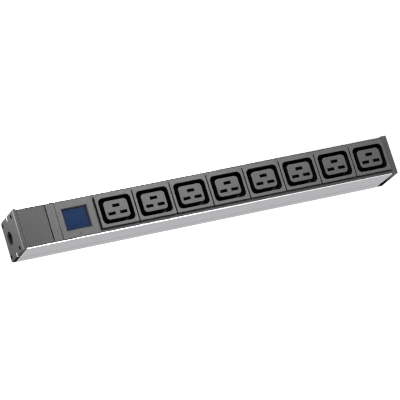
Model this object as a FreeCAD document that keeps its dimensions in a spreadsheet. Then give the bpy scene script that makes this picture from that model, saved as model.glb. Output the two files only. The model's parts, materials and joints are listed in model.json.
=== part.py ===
"""Metered rack power strip: an aluminium channel that holds a row of high-current sockets,
a display module with its meter, and the wiring from the cord inlet to the busbars.

Frame: millimetres, +X along the strip (inlet end at -X), +Y across it, +Z out of the sockets'
faces. The origin is the centre of the strip's flat back, which is the channel's outer floor.
"""
import FreeCAD, Part
import os
import re
import Sketcher

# Driving sizes: name, value in millimetres, meaning.
SIZES = [
    ("profile_width", 44.0, "channel, outside width"),
    ("profile_height", 46.0, "channel, outside height"),
    ("wall", 1.1, "channel side wall"),
    ("floor_thick", 2.0, "channel floor"),
    ("profile_corner", 1.2, "channel, radius of the outer bottom edges"),
    ("profile_bevel", 0.3, "channel, bevel of the outer top edges"),
    ("guide_height", 14.5, "drill guide line, height on the side wall"),
    ("guide_depth", 0.3, "drill guide line, depth"),
    ("lip_depth", 1.4, "module lip, reach from the side wall"),
    ("lip_thick", 1.0, "module lip, thickness"),
    ("seat_depth", 3.0, "module lip, depth below the channel's top"),
    ("rib_depth", 3.4, "tray rib, reach from the side wall"),
    ("rib_thick", 2.2, "tray rib, thickness"),
    ("tray_room", 5.5, "tray rib, top below the socket inserts"),
    ("port_radius", 1.9, "screw port, outside radius"),
    ("port_inset", 5.1, "screw port, axis from the channel's side"),
    ("port_low", 4.5, "lower screw port, height"),
    ("port_drop", 9.1, "upper screw port, axis below the channel's top"),
    ("port_web", 1.6, "web between a screw port and the wall"),
    ("cap_left", 4.0, "inlet end cap, thickness"),
    ("cap_right", 8.0, "far end cap, thickness"),
    ("cap_corner", 2.6, "end caps, radius of the bottom corners"),
    ("cap_bevel", 0.8, "end caps, bevel of the outer face"),
    ("notch_depth", 5.0, "bracket notch, depth from the side"),
    ("notch_height", 3.6, "bracket notch, height"),
    ("catch_sink", 0.4, "bracket catch, depth below the cap's face and side"),
    ("catch_slot", 1.6, "bracket catch, width of its slot"),
    ("inlet_radius", 7.5, "cord inlet, hole radius"),
    ("inlet_height", 16.0, "cord inlet, height of its axis"),
    ("inlet_bore", 5.6, "inlet grommet, bore radius"),
    ("grommet_sink", 1.3, "inlet grommet, depth below the cap's face"),
    ("grommet_flange", 1.5, "inlet grommet, flange radius beyond the hole and flange thickness"),
    ("cap_screw_radius", 1.0, "cap screw, shank radius"),
    ("cap_screw_length", 9.0, "cap screw, length in the screw port"),
    ("cap_head_radius", 1.9, "cap screw, head radius"),
    ("cap_head_height", 1.5, "cap screw, head height"),
    ("cap_head_sink", 0.9, "cap screw, head below the cap's face"),
    ("key_radius", 0.8, "screw drive recess, radius"),
    ("thread_gap", 0.05, "radial gap of a screw in its thread"),
    ("hole_gap", 0.1, "radial gap of a part in a plain hole"),
    ("side_gap", 0.7, "gap between a module and the side wall"),
    ("joint_gap", 0.3, "gap between modules"),
    ("blank_gap", 0.9, "gap between the blank cover and the filler"),
    ("cover_thick", 2.0, "module plate"),
    ("cover_round", 0.25, "module plate, radius of its top edges"),
    ("clip_gap", 0.2, "gap between a clip leg and the lip"),
    ("leg_thick", 0.9, "clip leg"),
    ("hook_reach", 0.7, "clip hook, reach under the lip"),
    ("hook_height", 1.0, "clip hook, height"),
    ("blank_length", 31.0, "blank cover, length of its bay"),
    ("filler_length", 10.0, "filler cover, length of its bay"),
    ("display_margin", 1.75, "display module, from its board's edge to the end of its bay"),
    ("socket_pitch", 42.8, "socket module pitch"),
    ("socket_count", 8, "number of socket modules"),
    ("plateau_rise", 3.6, "socket plateau above the channel's top"),
    ("plateau_rim", 3.45, "socket plateau, rim beside the recess"),
    ("plateau_gap", 1.0, "gap between socket plateaus"),
    ("plateau_corner", 0.8, "socket plateau, corner radius"),
    ("face_round", 0.45, "rounded edges of the socket face"),
    ("ring_length", 36.0, "socket recess, length"),
    ("ring_width", 27.9, "socket recess, width"),
    ("ring_corner", 4.8, "socket recess, corner radius"),
    ("ring_depth", 19.0, "socket recess, depth below the plateau"),
    ("shroud_wall", 1.0, "wall round the socket recess"),
    ("island_length", 26.8, "socket island, length"),
    ("island_width", 20.1, "socket island, width"),
    ("island_corner", 3.8, "socket island, corner radius"),
    ("insert_base", 2.0, "socket insert, base thickness"),
    ("face_thick", 2.2, "socket island, thickness of its face"),
    ("pin_spacing", 13.0, "socket, distance between the line and neutral slots"),
    ("pin_offset", 8.0, "socket, distance from them to the earth slot"),
    ("slot_length", 8.0, "contact slot, length"),
    ("slot_width", 3.1, "contact slot, width"),
    ("cavity_length", 8.6, "contact cavity, length"),
    ("cavity_width", 4.4, "contact cavity, width"),
    ("contact_width", 7.6, "contact, width of its strip"),
    ("contact_thick", 0.6, "contact, thickness of its strip"),
    ("contact_gap", 2.2, "contact, gap between its leaves"),
    ("contact_sink", 5.0, "contact, top of the leaves below the face"),
    ("contact_foot", 0.8, "contact, thickness of its foot"),
    ("bar_pitch", 9.0, "busbars, distance between neighbours"),
    ("bar_width", 6.0, "busbar, width"),
    ("bar_thick", 1.5, "busbar, thickness"),
    ("tray_wall", 1.5, "busbar tray, wall"),
    ("tray_drop", 11.1, "busbar tray, depth of its underside below the ribs"),
    ("tray_flange", 1.2, "busbar tray, flange thickness"),
    ("tray_lead", 8.0, "busbar tray, length under the display module"),
    ("bar_lead", 4.5, "busbars, length under the display module"),
    ("wire_radius", 1.6, "internal wire, radius"),
    ("wire_rise", 1.9, "internal wire, axis above the busbars' top"),
    ("lug_wall", 0.6, "lug barrel, wall"),
    ("lug_barrel", 8.0, "lug barrel, length"),
    ("lug_tongue", 9.0, "lug tongue, length"),
    ("lug_thick", 1.0, "lug tongue, thickness"),
    ("bar_screw_radius", 1.5, "busbar screw, shank radius"),
    ("bar_head_radius", 2.7, "busbar screw, head radius"),
    ("bar_head_height", 1.8, "busbar screw, head height"),
    ("window_length", 27.3, "display window, visible length"),
    ("window_width", 23.0, "display window, visible width"),
    ("window_bevel", 1.0, "display window, bevel round the opening"),
    ("window_margin", 1.0, "display window, hidden rim"),
    ("window_thick", 0.8, "display window, thickness"),
    ("window_offset", -0.9, "display window, centre from the module's centre"),
    ("lcd_thick", 1.9, "display panel, thickness"),
    ("holder_wall", 1.0, "display holder, wall"),
    ("board_thick", 1.2, "meter board, thickness"),
    ("board_drop", 3.0, "meter board, top below the module plate"),
    ("boss_radius", 1.5, "board boss, radius"),
    ("board_screw_radius", 0.7, "board screw, shank radius"),
    ("board_head_radius", 1.4, "board screw, head radius"),
    ("board_head_height", 0.9, "board screw, head height"),
    ("button_radius", 0.75, "scroll button, stem radius"),
    ("button_offset_x", -1.7, "scroll button, distance along the strip from the centre"),
    ("button_offset_y", -16.9, "scroll button, distance across the strip"),
    ("button_sink", 0.5, "scroll button, top below the plate's face"),
    ("button_flange", 0.7, "scroll button, flange thickness"),
    ("button_flange_x", 3.2, "scroll button, flange length"),
    ("button_flange_y", 3.0, "scroll button, flange width"),
    ("button_travel", 0.6, "scroll button, travel to the switch"),
    ("switch_side", 4.0, "key switch, side"),
    ("switch_tip_radius", 0.9, "key switch, plunger radius"),
    ("switch_tip", 0.5, "key switch, plunger height"),
    ("coil_gap", 0.5, "current transformer, gap to the neutral wire"),
    ("coil_bore", 2.6, "current transformer, bore radius"),
    ("coil_length", 10.0, "current transformer, length"),
    ("coil_foot", 8.0, "current transformer, width of its foot"),
    ("coil_setback", 24.0, "current transformer, distance before the first socket module"),
    ("supply_size", 13.0, "supply transformer, side"),
    ("supply_height", 11.0, "supply transformer, height"),
    ("capacitor_radius", 4.0, "supply capacitor, radius"),
    ("capacitor_height", 9.0, "supply capacitor, height"),
    ("block_length", 16.0, "terminal block, length"),
    ("block_width", 27.0, "terminal block, width"),
    ("block_height", 20.0, "terminal block, height"),
    ("block_setback", 9.0, "terminal block, distance behind the inlet cap"),
    ("sleeve_length", 12.0, "terminal sleeve, length"),
    ("sleeve_side", 5.6, "terminal sleeve, width and height"),
    ("terminal_screw_radius", 1.5, "terminal screw, radius"),
    ("terminal_screw_height", 3.2, "terminal screw, height"),
    ("bridge_width", 5.0, "earth bridge, width"),
    ("bridge_thick", 0.8, "earth bridge, thickness"),
    ("bridge_reach", 10.0, "earth bridge, length of its foot"),
    ("earth_screw_radius", 1.95, "earth screw, shank radius"),
    ("earth_head_radius", 3.4, "earth screw, head radius"),
    ("earth_head_height", 2.4, "earth screw, head height"),
]

doc = FreeCAD.newDocument("PowerStrip")
sheet = doc.addObject("Spreadsheet::Sheet", "Sizes")
for row, (alias, number, meaning) in enumerate(SIZES, 1):
    sheet.set(f"A{row}", meaning)
    sheet.set(f"B{row}", str(number))
    sheet.setAlias(f"B{row}", alias)
doc.recompute()

ALIAS = re.compile(r"\b(" + "|".join(alias for alias, number, meaning in SIZES) + r")\b")
nodes = []


# ---- Expressions -------------------------------------------------------------------------

def bound(text):
    """The expression with every size name pointing at the sheet."""
    return ALIAS.sub(r"Sizes.\1", str(text))


def size(text):
    """The expression's present value."""
    return float(sheet.evalExpression(str(text)))


# Places that several pieces share, as expressions in the sheet's names.
BOSS_ALONG = ("(window_length / 2 + abs(window_offset) + window_margin + holder_wall"
              " + boss_radius + hole_gap)")
BOSS_ACROSS = "(window_width / 2 + window_margin + holder_wall + boss_radius + hole_gap)"
BOARD_HALF_LENGTH = f"({BOSS_ALONG} + boss_radius)"
BOARD_HALF_WIDTH = f"({BOSS_ACROSS} + boss_radius)"
DISPLAY_LENGTH = f"(2 * ({BOARD_HALF_LENGTH} + display_margin))"
LEFT_FACE = (f"(-(cap_left + blank_length + filler_length + {DISPLAY_LENGTH}"
             " + socket_count * socket_pitch + cap_right) / 2)")
PROFILE_START = f"({LEFT_FACE} + cap_left)"
FILLER_START = f"({PROFILE_START} + blank_length)"
DISPLAY_START = f"({FILLER_START} + filler_length)"
DISPLAY_MIDDLE = f"({DISPLAY_START} + {DISPLAY_LENGTH} / 2)"
SOCKETS_START = f"({DISPLAY_START} + {DISPLAY_LENGTH})"
PROFILE_END = f"({SOCKETS_START} + socket_count * socket_pitch)"
RIGHT_FACE = f"({PROFILE_END} + cap_right)"
INNER_WALL = "(profile_width / 2 - wall)"
SEAT = "(profile_height - seat_depth)"
PLATE_UNDER = "(profile_height - cover_thick)"
FACE_TOP = "(profile_height + plateau_rise)"
RING_FLOOR = f"({FACE_TOP} - ring_depth)"
RIB_TOP = f"({RING_FLOOR} - insert_base - tray_room)"
RIB_MIDDLE = f"({RIB_TOP} - rib_thick / 2)"
TRAY_UNDER = f"({RIB_TOP} - tray_drop)"
BAR_UNDER = f"({TRAY_UNDER} + tray_wall)"
BAR_TOP = f"({BAR_UNDER} + bar_thick)"
WIRE_HEIGHT = f"({BAR_TOP} + wire_rise)"
BAR_START = f"({SOCKETS_START} - bar_lead)"
BOARD_TOP = f"({PLATE_UNDER} - board_drop)"
BOARD_UNDER = f"({BOARD_TOP} - board_thick)"
LCD_TOP = f"({PLATE_UNDER} - window_thick)"
WINDOW_MIDDLE = f"({DISPLAY_MIDDLE} + window_offset)"
BLOCK_START = f"({PROFILE_START} + block_setback)"
BLOCK_MIDDLE = f"({BLOCK_START} + block_length / 2)"
BLOCK_END = f"({BLOCK_START} + block_length)"
SLEEVE_UNDER = f"({WIRE_HEIGHT} - sleeve_side / 2)"
POLES = {"live": "(-bar_pitch)", "neutral": "(0 * bar_pitch)", "earth": "bar_pitch"}
PORT_SIDE = "(profile_width / 2 - port_inset)"
PORTS = [(f"({side}{PORT_SIDE})", height)
         for side in ("-", "") for height in ("port_low", "(profile_height - port_drop)")]
EARTH_SCREW = f"({BLOCK_END} + bridge_thick + bridge_reach * 0.6)"
COIL_RADIUS = "(bar_pitch - wire_radius - coil_gap)"
BUTTON_X = f"({DISPLAY_MIDDLE} + button_offset_x)"
BUTTON_Y = "button_offset_y"
FLANGE_TOP = f"({PLATE_UNDER} - thread_gap)"
TRAY_HALF = f"({PORT_SIDE} - port_radius - side_gap)"


# ---- Part primitives and booleans --------------------------------------------------------

TURNS = {
    "x": FreeCAD.Rotation(FreeCAD.Vector(0, 1, 0), 90),
    "y": FreeCAD.Rotation(FreeCAD.Vector(1, 0, 0), -90),
    "z": FreeCAD.Rotation(),
}


def place(piece, spot):
    for axis, text in zip("xyz", spot):
        piece.setExpression(f"Placement.Base.{axis}", bound(text))
    return piece


def block(name, low, high):
    """A box between two corners."""
    piece = doc.addObject("Part::Box", name)
    for side, start, end in zip(("Length", "Width", "Height"), low, high):
        piece.setExpression(side, bound(f"({end}) - ({start})"))
    return place(piece, low)


def rod(name, axis, radius, length, foot):
    """A cylinder that starts at its foot and runs along +axis."""
    piece = doc.addObject("Part::Cylinder", name)
    piece.Placement = FreeCAD.Placement(FreeCAD.Vector(), TURNS[axis])
    piece.setExpression("Radius", bound(radius))
    piece.setExpression("Height", bound(length))
    return place(piece, foot)


def joined(name, pieces):
    piece = doc.addObject("Part::MultiFuse", name)
    piece.Shapes = pieces
    return piece


def grouped(name, pieces):
    piece = doc.addObject("Part::Compound", name)
    piece.Links = pieces
    return piece


def cut(name, base, tools):
    piece = doc.addObject("Part::Cut", name)
    piece.Base = base
    piece.Tool = tools[0] if len(tools) == 1 else grouped(f"{name}_tools", tools)
    return piece


def keep(piece):
    """Counts the piece as a node: its label names its file."""
    nodes.append(piece)
    return piece


# ---- Bodies and sketches -----------------------------------------------------------------

def new_body(name, middle=None):
    body = doc.addObject("PartDesign::Body", name)
    if middle:
        body.setExpression("Placement.Base.x", bound(middle))
    return body


def new_sketch(body, name, role, offset):
    """A sketch on one of the body's own planes, moved along its normal."""
    drawing = body.newObject("Sketcher::SketchObject", f"{body.Name}_{name}_sketch")
    plane = next(item for item in body.Origin.OriginFeatures if item.Role == role)
    drawing.AttachmentSupport = [(plane, "")]
    drawing.MapMode = "FlatFace"
    drawing.setExpression("AttachmentOffset.Base.z", bound(offset))
    return drawing


def hold(drawing, geometry, point, spot):
    """Two dimensions that hold a point of the sketch from its origin."""
    for kind, text in zip(("DistanceX", "DistanceY"), spot):
        index = drawing.addConstraint(Sketcher.Constraint(kind, -1, 1, geometry, point, size(text)))
        drawing.setExpression(f"Constraints[{index}]", bound(text))


def draw_outline(drawing, points):
    """A closed outline of straight lines through the points."""
    first = drawing.GeometryCount
    spots = [FreeCAD.Vector(size(a), size(b), 0) for a, b in points]
    count = len(spots)
    drawing.addGeometry([Part.LineSegment(spots[i], spots[(i + 1) % count]) for i in range(count)], False)
    drawing.addConstraint([Sketcher.Constraint("Coincident", first + i, 2, first + (i + 1) % count, 1)
                           for i in range(count)])
    for i, spot in enumerate(points):
        hold(drawing, first + i, 1, spot)


def draw_box(drawing, low, high):
    draw_outline(drawing, [(low[0], low[1]), (high[0], low[1]), (high[0], high[1]), (low[0], high[1])])


def draw_circle(drawing, radius, centre):
    first = drawing.GeometryCount
    middle = FreeCAD.Vector(size(centre[0]), size(centre[1]), 0)
    drawing.addGeometry(Part.Circle(middle, FreeCAD.Vector(0, 0, 1), size(radius)), False)
    index = drawing.addConstraint(Sketcher.Constraint("Radius", first, size(radius)))
    drawing.setExpression(f"Constraints[{index}]", bound(radius))
    hold(drawing, first, 3, centre)


def draw_rounded(drawing, length, width, radius):
    """A rectangle about the origin with round corners: four arcs joined by tangent lines."""
    first = drawing.GeometryCount
    signs = [("", ""), ("-", ""), ("-", "-"), ("", "-")]
    centres = [(f"({a}(({length}) / 2 - ({radius})))", f"({b}(({width}) / 2 - ({radius})))") for a, b in signs]
    corner, quarter = size(radius), 1.5707963267948966
    up = FreeCAD.Vector(0, 0, 1)
    arcs = []
    for turn, (a, b) in enumerate(centres):
        ring = Part.Circle(FreeCAD.Vector(size(a), size(b), 0), up, corner)
        arcs.append(Part.ArcOfCircle(ring, turn * quarter, (turn + 1) * quarter))
    lines = [Part.LineSegment(arcs[i].EndPoint, arcs[(i + 1) % 4].StartPoint) for i in range(4)]
    drawing.addGeometry(arcs + lines, False)
    for i in range(4):
        line = first + 4 + i
        drawing.addConstraint([Sketcher.Constraint("Tangent", first + i, 2, line, 1),
                               Sketcher.Constraint("Tangent", line, 2, first + (i + 1) % 4, 1)])
    for i, centre in enumerate(centres):
        index = drawing.addConstraint(Sketcher.Constraint("Radius", first + i, corner))
        drawing.setExpression(f"Constraints[{index}]", bound(radius))
        hold(drawing, first + i, 3, centre)


def pad(body, name, drawing, length):
    feature = body.newObject("PartDesign::Pad", f"{body.Name}_{name}")
    feature.Profile = drawing
    feature.setExpression("Length", bound(length))
    drawing.Visibility = False
    return feature


def pocket(body, name, drawing, depth=None):
    """A cut against the sketch's normal, to a depth or through everything."""
    feature = body.newObject("PartDesign::Pocket", f"{body.Name}_{name}")
    feature.Profile = drawing
    if depth:
        feature.setExpression("Length", bound(depth))
    else:
        feature.Type = 1
    return feature


def dress(body, kind, name, base, amount, chosen):
    """A fillet or chamfer on the base's edges that the test chooses."""
    doc.recompute()
    picked = [f"Edge{i}" for i, edge in enumerate(base.Shape.Edges, 1) if chosen(edge.BoundBox)]
    feature = body.newObject(f"PartDesign::{kind}", f"{body.Name}_{name}")
    feature.Base = (base, picked)
    feature.setExpression("Radius" if kind == "Fillet" else "Size", bound(amount))
    return feature


def near(a, b):
    return abs(a - b) < 1e-4


# ---- Channel and end caps ----------------------------------------------------------------

def make_profile():
    """Aluminium channel with a lip for the modules, a rib for the tray and four screw ports."""
    body = new_body("housing_profile")
    inner = [
        (INNER_WALL, "profile_height"),
        (INNER_WALL, SEAT),
        (f"({INNER_WALL} - lip_depth)", SEAT),
        (f"({INNER_WALL} - lip_depth)", f"({SEAT} - lip_thick)"),
        (INNER_WALL, f"({SEAT} - lip_thick)"),
        (INNER_WALL, RIB_TOP),
        (f"({INNER_WALL} - rib_depth)", RIB_TOP),
        (f"({INNER_WALL} - rib_depth)", f"({RIB_TOP} - rib_thick)"),
        (INNER_WALL, f"({RIB_TOP} - rib_thick)"),
        (INNER_WALL, "floor_thick"),
    ]
    mirrored = [(f"(-{side})", height) for side, height in reversed(inner)]
    outer = [("(-profile_width / 2)", "profile_height"), ("(-profile_width / 2)", "0"),
             ("(profile_width / 2)", "0"), ("(profile_width / 2)", "profile_height")]
    length = f"({PROFILE_END} - {PROFILE_START})"

    section = new_sketch(body, "section", "YZ_Plane", PROFILE_START)
    draw_outline(section, inner + mirrored + outer)
    pad(body, "section", section, length)

    webs = new_sketch(body, "webs", "YZ_Plane", PROFILE_START)
    for side, height in PORTS:
        outward = f"(-{INNER_WALL} - wall / 2)" if side.startswith("(-") else f"({INNER_WALL} + wall / 2)"
        draw_box(webs, (side, f"({height} - port_web / 2)"), (outward, f"({height} + port_web / 2)"))
    pad(body, "webs", webs, length)

    ports = new_sketch(body, "ports", "YZ_Plane", PROFILE_START)
    for centre in PORTS:
        draw_circle(ports, "port_radius", centre)
    pad(body, "ports", ports, length)

    bores = new_sketch(body, "bores", "YZ_Plane", PROFILE_END)
    for centre in PORTS:
        draw_circle(bores, "cap_screw_radius + thread_gap", centre)
    pocket(body, "bores", bores)

    guides = new_sketch(body, "guides", "YZ_Plane", PROFILE_END)
    for sign in ("", "-"):
        surface = f"({sign}(profile_width / 2))"
        root = f"({sign}(profile_width / 2 - guide_depth))"
        beyond = f"({sign}(profile_width / 2 + guide_depth))"
        draw_outline(guides, [(root, "guide_height"), (surface, "(guide_height + guide_depth)"),
                              (beyond, "(guide_height + guide_depth)"), (beyond, "(guide_height - guide_depth)"),
                              (surface, "(guide_height - guide_depth)")])
    pocket(body, "guides", guides)

    earth = new_sketch(body, "earth", "XY_Plane", "floor_thick")
    draw_circle(earth, "earth_screw_radius + thread_gap", (EARTH_SCREW, POLES["earth"]))
    tapped = pocket(body, "earth", earth, "floor_thick")

    half, height = size("profile_width / 2"), size("profile_height")
    rounded = dress(body, "Fillet", "corners", tapped, "profile_corner",
                    lambda box: near(box.YMin, box.YMax) and near(abs(box.YMin), half) and near(box.ZMax, 0))
    dress(body, "Chamfer", "bevels", rounded, "profile_bevel",
          lambda box: near(box.YMin, box.YMax) and near(abs(box.YMin), half) and near(box.ZMin, height))
    keep(body)


def make_cap(name, outside, thickness, normal):
    """End plate with rounded bottom corners, a bevelled face and four sunk screw holes.

    normal is "-" where the outer face looks along -X, and "" where it looks along +X."""
    body = new_body(name)
    start = outside if normal else f"({outside} - {thickness})"
    plate = new_sketch(body, "plate", "YZ_Plane", start)
    draw_box(plate, ("(-profile_width / 2)", "0"), ("(profile_width / 2)", "profile_height"))
    slab = pad(body, "plate", plate, thickness)
    rounded = dress(body, "Fillet", "corners", slab, "cap_corner",
                    lambda box: near(box.YMin, box.YMax) and near(box.ZMax, 0) and not near(box.XMin, box.XMax))
    face = size(outside)
    dress(body, "Chamfer", "bevel", rounded, "cap_bevel",
          lambda box: near(box.XMin, face) and near(box.XMax, face))

    inside = f"({outside} + {thickness})" if normal else outside
    holes = new_sketch(body, "holes", "YZ_Plane", inside)
    for centre in PORTS:
        draw_circle(holes, "cap_screw_radius + hole_gap", centre)
    pocket(body, "holes", holes)
    sunk = f"({outside} + cap_head_sink + cap_head_height)" if normal else outside
    heads = new_sketch(body, "heads", "YZ_Plane", sunk)
    for centre in PORTS:
        draw_circle(heads, "cap_head_radius + hole_gap", centre)
    pocket(body, "heads", heads, "cap_head_sink + cap_head_height")
    return keep(body)


def make_caps():
    left = make_cap("end_cap_left", LEFT_FACE, "cap_left", "-")
    inlet = new_sketch(left, "inlet", "YZ_Plane", PROFILE_START)
    draw_circle(inlet, "inlet_radius", ("0", "inlet_height"))
    pocket(left, "inlet", inlet)
    notches = new_sketch(left, "notches", "YZ_Plane", PROFILE_START)
    for sign in ("", "-"):
        draw_box(notches, (f"({sign}(profile_width / 2 - notch_depth))", f"({RIB_MIDDLE} - notch_height / 2)"),
                 (f"({sign}(profile_width / 2 + notch_depth))", f"({RIB_MIDDLE} + notch_height / 2)"))
    pocket(left, "notches", notches)
    make_cap("end_cap_right", RIGHT_FACE, "cap_right", "")


def beside(sign, along, inner, outer, height):
    """Low and high corners of a block on one side of the strip, centred on the tray rib's height."""
    low, high = (outer, inner) if sign else (inner, outer)
    return ((along[0], low, f"({RIB_MIDDLE} - {height} / 2)"), (along[1], high, f"({RIB_MIDDLE} + {height} / 2)"))


def make_catches():
    """Catches for the rack brackets, one filling each notch, with a slot in its outer side."""
    catches = []
    for sign, label in (("", "back"), ("-", "front")):
        inner = f"({sign}(profile_width / 2 - notch_depth))"
        outer = f"({sign}(profile_width / 2 - catch_sink))"
        beyond = f"({sign}(profile_width / 2 + catch_sink))"
        middle = f"({sign}(profile_width / 2 - notch_depth / 2))"
        body = block(f"catch_{label}_body", *beside(sign, (f"({LEFT_FACE} + catch_sink)", PROFILE_START), inner, outer,
                                                     "notch_height"))
        slot = block(f"catch_{label}_slot", *beside(sign, (f"({LEFT_FACE} + cap_bevel + catch_sink)", PROFILE_START),
                                                     middle, beyond, "catch_slot"))
        catches.append(cut(f"catch_{label}", body, [slot]))
    keep(grouped("bracket_catches", catches))


def make_cap_screws(name, face, thickness, inward):
    """Four screws whose heads lie sunk in a cap; inward is the sign of X into the strip."""
    screws = []
    for number, (side, height) in enumerate(PORTS, 1):
        label = f"{name}_{number}"
        shank_length = f"({thickness} - cap_head_sink - cap_head_height + cap_screw_length)"
        if inward == "+":
            head_foot = f"({face} + cap_head_sink)"
            shank_foot = f"({head_foot} + cap_head_height)"
            key_foot = head_foot
        else:
            head_foot = f"({face} - cap_head_sink - cap_head_height)"
            shank_foot = f"({head_foot} - {shank_length})"
            key_foot = f"({face} - cap_head_sink - cap_head_height / 2)"
        head = rod(f"{label}_head", "x", "cap_head_radius", "cap_head_height", (head_foot, side, height))
        shank = rod(f"{label}_shank", "x", "cap_screw_radius", shank_length, (shank_foot, side, height))
        key = rod(f"{label}_key", "x", "key_radius", "cap_head_height / 2", (key_foot, side, height))
        screws.append(cut(label, joined(f"{label}_blank", [head, shank]), [key]))
    keep(grouped(name, screws))


def make_grommet():
    """Inlet ring, sunk in the cap's hole, with a flange behind the cap."""
    foot = (f"({LEFT_FACE} + grommet_sink)", "0", "inlet_height")
    tube = rod("grommet_tube", "x", "inlet_radius - thread_gap", "cap_left - grommet_sink + grommet_flange", foot)
    flange = rod("grommet_rim", "x", "inlet_radius + grommet_flange", "grommet_flange",
                 (PROFILE_START, "0", "inlet_height"))
    bore = rod("grommet_bore", "x", "inlet_bore", "cap_left + 2 * grommet_flange", foot)
    keep(cut("cable_grommet", joined("grommet_blank", [tube, flange]), [bore]))


# ---- Modules on the channel's lip --------------------------------------------------------

def module_section():
    """Cross-section shared by every module: plate, side seats and clip legs under the lip."""
    side = f"({INNER_WALL} - side_gap)"
    neck_out = f"({INNER_WALL} - lip_depth - clip_gap)"
    neck_in = f"({neck_out} - leg_thick)"
    hook_out = f"({neck_out} + hook_reach)"
    hook_top = f"({SEAT} - lip_thick - clip_gap)"
    hook_low = f"({hook_top} - hook_height)"
    leg_end = f"({hook_low} - hook_height / 2)"
    half = [(side, "profile_height"), (side, SEAT), (neck_out, SEAT), (neck_out, hook_top),
            (hook_out, hook_top), (hook_out, hook_low), (neck_out, leg_end), (neck_in, leg_end),
            (neck_in, PLATE_UNDER)]
    return half + [(f"(-{across})", height) for across, height in reversed(half)]


def module_blank(body, start, end):
    """The shared section between two places along the strip, with its top edges rounded."""
    section = new_sketch(body, "section", "YZ_Plane", start)
    draw_outline(section, module_section())
    plate = pad(body, "section", section, f"({end} - {start})")
    top = size("profile_height")
    return dress(body, "Fillet", "rounding", plate, "cover_round",
                 lambda box: near(box.ZMin, top) and near(box.ZMax, top))


def make_covers():
    blank = new_body("blank_cover")
    module_blank(blank, f"({PROFILE_START} + joint_gap / 2)", f"({FILLER_START} - blank_gap / 2)")
    keep(blank)
    filler = new_body("filler_cover")
    module_blank(filler, f"({FILLER_START} + blank_gap / 2)", f"({DISPLAY_START} - joint_gap / 2)")
    keep(filler)


# ---- Display module ----------------------------------------------------------------------

def boss_spots():
    return [(f"({DISPLAY_MIDDLE} {a} {BOSS_ALONG})", f"({b}{BOSS_ACROSS})") for a in "-+" for b in ("-", "")]


def make_bezel():
    """Display plate with its window opening, button hole and bosses for the meter board."""
    body = new_body("display_bezel")
    module_blank(body, f"({DISPLAY_START} + joint_gap / 2)", f"({SOCKETS_START} - joint_gap / 2)")
    bosses = new_sketch(body, "bosses", "XY_Plane", BOARD_TOP)
    for centre in boss_spots():
        draw_circle(bosses, "boss_radius", centre)
    pad(body, "bosses", bosses, f"({PLATE_UNDER} - {BOARD_TOP} + cover_thick / 2)")
    opening = new_sketch(body, "opening", "XY_Plane", "profile_height")
    draw_box(opening, (f"({WINDOW_MIDDLE} - window_length / 2)", "(-window_width / 2)"),
             (f"({WINDOW_MIDDLE} + window_length / 2)", "(window_width / 2)"))
    opened = pocket(body, "opening", opening, "cover_thick")
    top, side = size("profile_height"), size("window_width / 2")
    west, east = size(f"{WINDOW_MIDDLE} - window_length / 2"), size(f"{WINDOW_MIDDLE} + window_length / 2")
    dress(body, "Chamfer", "bevel", opened, "window_bevel",
          lambda box: near(box.ZMin, top) and near(box.ZMax, top) and abs(box.YMin) < side + 1e-4
          and abs(box.YMax) < side + 1e-4 and box.XMin > west - 1e-4 and box.XMax < east + 1e-4)
    hole = new_sketch(body, "hole", "XY_Plane", "profile_height")
    draw_circle(hole, "button_radius + hole_gap", (BUTTON_X, BUTTON_Y))
    pocket(body, "hole", hole, "cover_thick")
    threads = new_sketch(body, "threads", "XY_Plane", PLATE_UNDER)
    for centre in boss_spots():
        draw_circle(threads, "board_screw_radius + thread_gap", centre)
    pocket(body, "threads", threads, f"({PLATE_UNDER} - {BOARD_TOP})")
    keep(body)


def about_window(margin, low, high):
    """Corners of a block about the display window, margin wider all round."""
    length, width = f"(window_length / 2 + {margin})", f"(window_width / 2 + {margin})"
    return ((f"({WINDOW_MIDDLE} - {length})", f"(-{width})", low),
            (f"({WINDOW_MIDDLE} + {length})", width, high))


def make_display():
    keep(block("display_window", *about_window("window_margin", LCD_TOP, PLATE_UNDER)))
    keep(block("lcd_panel", *about_window("window_margin", f"({LCD_TOP} - lcd_thick)", LCD_TOP)))
    outer = block("holder_outer", *about_window("(window_margin + holder_wall)", BOARD_TOP, LCD_TOP))
    pit = block("holder_pit", *about_window("(window_margin + hole_gap)", f"({LCD_TOP} - lcd_thick)",
                                            f"({LCD_TOP} + lcd_thick)"))
    well = block("holder_well", *about_window("(-window_margin)", f"({BOARD_TOP} - lcd_thick)", LCD_TOP))
    keep(cut("lcd_holder", outer, [joined("holder_space", [pit, well])]))


def make_button():
    """Scroll button: a stem in the plate's hole on a flange that presses the key switch."""
    under = f"({FLANGE_TOP} - button_flange)"
    stem = rod("button_stem", "z", "button_radius", f"(profile_height - button_sink - {under})",
               (BUTTON_X, BUTTON_Y, under))
    outward = f"({BUTTON_Y} - button_radius)"
    flange = block("button_plate", (f"({BUTTON_X} - button_flange_x / 2)", outward, under),
                   (f"({BUTTON_X} + button_flange_x / 2)", f"({outward} + button_flange_y)", FLANGE_TOP))
    keep(joined("scroll_button", [stem, flange]))

    tip_top = f"({under} - button_travel - thread_gap)"
    case_top = f"({tip_top} - switch_tip)"
    middle_y = f"({outward} + switch_side / 2)"
    case = block("switch_case", (f"({BUTTON_X} - switch_side / 2)", outward, BOARD_TOP),
                 (f"({BUTTON_X} + switch_side / 2)", f"({outward} + switch_side)", case_top))
    tip = rod("switch_tip", "z", "switch_tip_radius", "switch_tip", (BUTTON_X, middle_y, case_top))
    keep(joined("key_switch", [case, tip]))


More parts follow.
